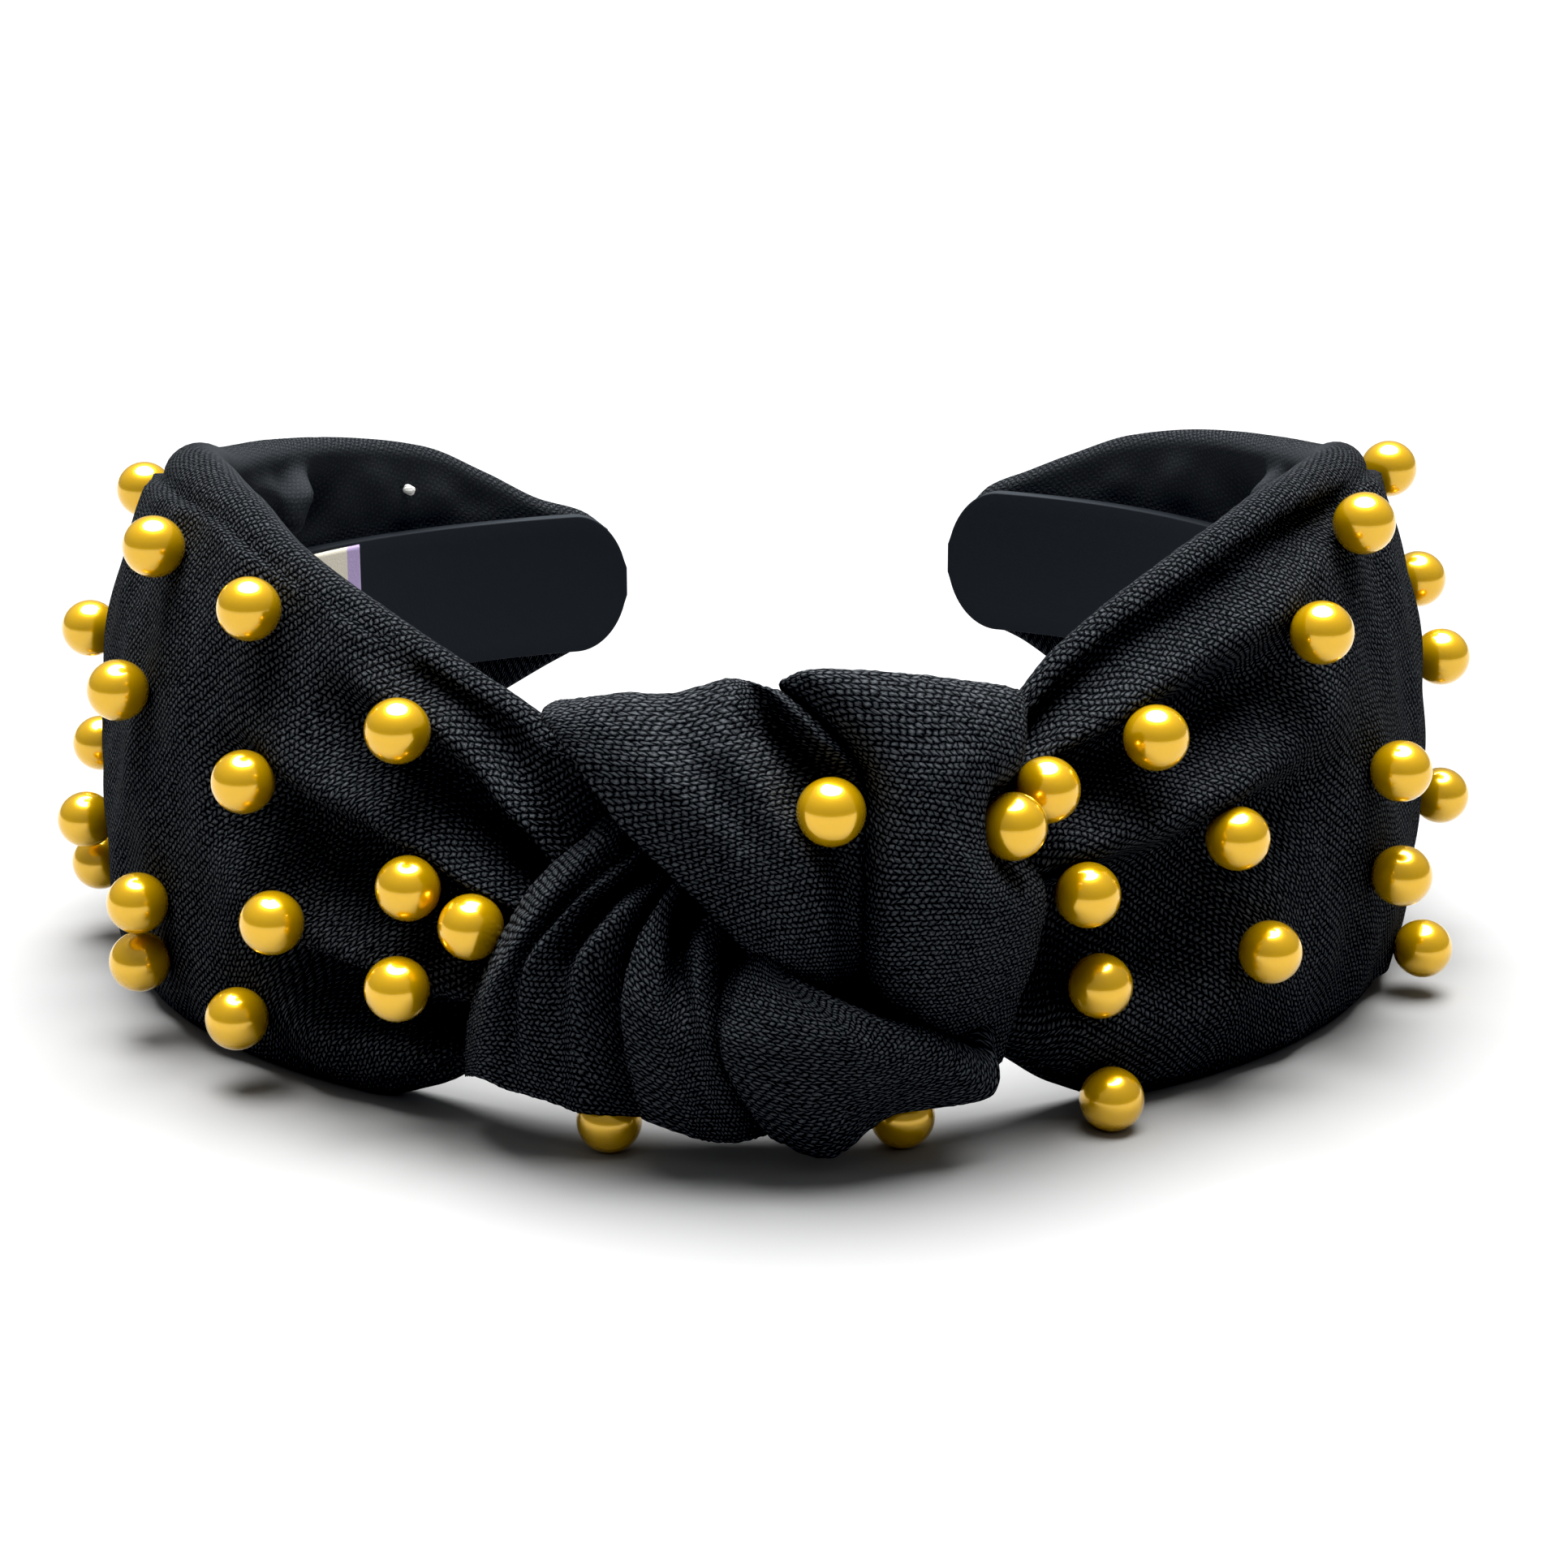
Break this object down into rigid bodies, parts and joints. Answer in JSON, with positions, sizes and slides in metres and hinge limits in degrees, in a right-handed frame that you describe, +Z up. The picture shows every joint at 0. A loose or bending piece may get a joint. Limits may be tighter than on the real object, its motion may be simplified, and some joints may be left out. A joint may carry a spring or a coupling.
{
  "type": "knotted headband with pearls",
  "caption": "Springy hair hoop in a wide gathered tube of black knit, tied in a big twisted knot at the front and studded all over with gold pearls.",
  "frame": {"origin": "middle of the footprint, on the surface that the headband lies on", "axes": "+Z up through the loop, the knot towards -Y, the open tips of the hoop towards +Y, +X to the right as seen from the knot's side"},
  "size_m": [0.1766, 0.1504, 0.0657],
  "materials": {
    "knit_cloth": "matt black textured knit",
    "hoop_cover": "smooth matt black cover",
    "pearl": "glossy gold pearl lustre",
    "label": "cream woven tape",
    "thread": "white sewing thread"
  },
  "bodies": {
    "root": {"hoop": "hoop_cover", "band_cloth_left": "knit_cloth", "band_cloth_right": "knit_cloth", "knot_over_strap": "knit_cloth", "knot_side_loop": "knit_cloth", "knot_under_wrap": "knit_cloth", "label": "label", "stitch_knot": "thread", "pearl_01": "pearl", "pearl_02": "pearl", "pearl_03": "pearl", "pearl_04": "pearl", "pearl_05": "pearl", "pearl_06": "pearl", "pearl_07": "pearl", "pearl_08": "pearl", "pearl_09": "pearl", "pearl_10": "pearl", "pearl_11": "pearl", "pearl_12": "pearl", "pearl_13": "pearl", "pearl_14": "pearl", "pearl_15": "pearl", "pearl_16": "pearl", "pearl_17": "pearl", "pearl_18": "pearl", "pearl_19": "pearl", "pearl_20": "pearl", "pearl_21": "pearl", "pearl_22": "pearl", "pearl_23": "pearl", "pearl_24": "pearl", "pearl_25": "pearl", "pearl_26": "pearl", "pearl_27": "pearl", "pearl_28": "pearl", "pearl_29": "pearl", "pearl_30": "pearl", "pearl_31": "pearl", "pearl_32": "pearl", "pearl_33": "pearl", "pearl_34": "pearl", "pearl_35": "pearl", "pearl_36": "pearl", "pearl_37": "pearl", "pearl_38": "pearl", "pearl_39": "pearl", "pearl_40": "pearl", "pearl_41": "pearl"}
  },
  "joints": []
}
